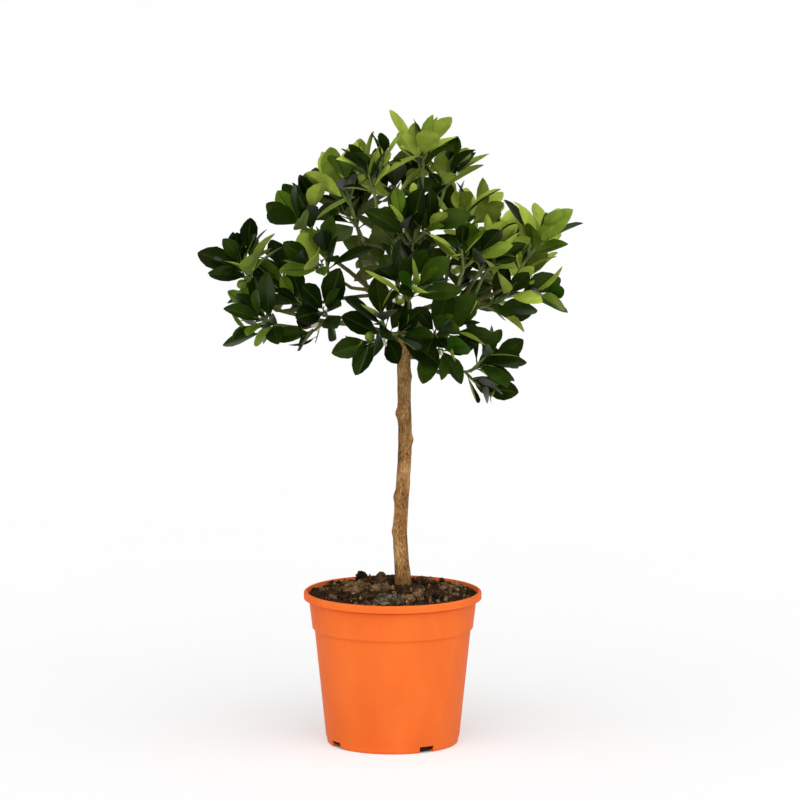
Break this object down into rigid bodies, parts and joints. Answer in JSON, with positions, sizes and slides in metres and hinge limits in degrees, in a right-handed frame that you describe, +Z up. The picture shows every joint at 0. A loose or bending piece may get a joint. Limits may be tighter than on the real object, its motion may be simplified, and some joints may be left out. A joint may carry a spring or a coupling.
{
  "type": "small citrus standard tree in a nursery pot",
  "caption": "Small evergreen citrus grown as a standard: a clear stem with an open leafy head and a few green fruits, planted in a round tapered plastic nursery pot.",
  "frame": {"origin": "middle of the pot's flat underside", "axes": "+Z up along the stem, -Y towards the viewer, +X to the right"},
  "size_m": [0.4092, 0.3533, 0.6767],
  "materials": {
    "pot": "moulded orange polypropylene with a satin surface, faint flow marks and light scuffs at the foot",
    "compost": "dark damp peat and bark compost, matte and crumbly, with lumps of bark",
    "bark": "young light brown bark, matte, finely fissured and speckled",
    "foliage": "leathery citrus leaves, dark and glossy above, pale matt yellow-green below, on thin green twigs"
  },
  "bodies": {
    "root": {"pot": "pot", "compost": "compost", "trunk": "bark", "bough_top": "bark", "bough_far_left": "bark", "bough_left_upper": "bark", "bough_right": "bark", "bough_far_right": "bark", "bough_lower_right": "bark", "bough_top_right": "bark", "bough_upper_left": "bark", "bough_left_low": "bark", "bough_upper_centre": "bark", "bough_heart": "bark", "bough_front": "bark", "bough_front_right": "bark", "bough_right_mid": "bark", "bough_right_low": "bark", "bough_left_mid": "bark", "bough_left_inner": "bark", "bough_front_low": "bark", "bough_right_front": "bark", "bough_back_right": "bark", "bough_back_top": "bark", "bough_back": "bark", "bough_back_left": "bark", "bough_back_low_left": "bark", "bough_back_low_right": "bark", "bough_right_top_back": "bark", "leaves_top": "foliage", "leaves_far_left": "foliage", "leaves_left_upper": "foliage", "leaves_right": "foliage", "leaves_far_right": "foliage", "leaves_lower_right": "foliage", "leaves_top_right": "foliage", "leaves_upper_left": "foliage", "leaves_left_low": "foliage", "leaves_upper_centre": "foliage", "leaves_heart": "foliage", "leaves_front": "foliage", "leaves_front_right": "foliage", "leaves_right_mid": "foliage", "leaves_right_low": "foliage", "leaves_left_mid": "foliage", "leaves_left_inner": "foliage", "leaves_front_low": "foliage", "leaves_right_front": "foliage", "leaves_back_right": "foliage", "leaves_back_top": "foliage", "leaves_back": "foliage", "leaves_back_left": "foliage", "leaves_back_low_left": "foliage", "leaves_back_low_right": "foliage", "leaves_right_top_back": "foliage"}
  },
  "joints": []
}
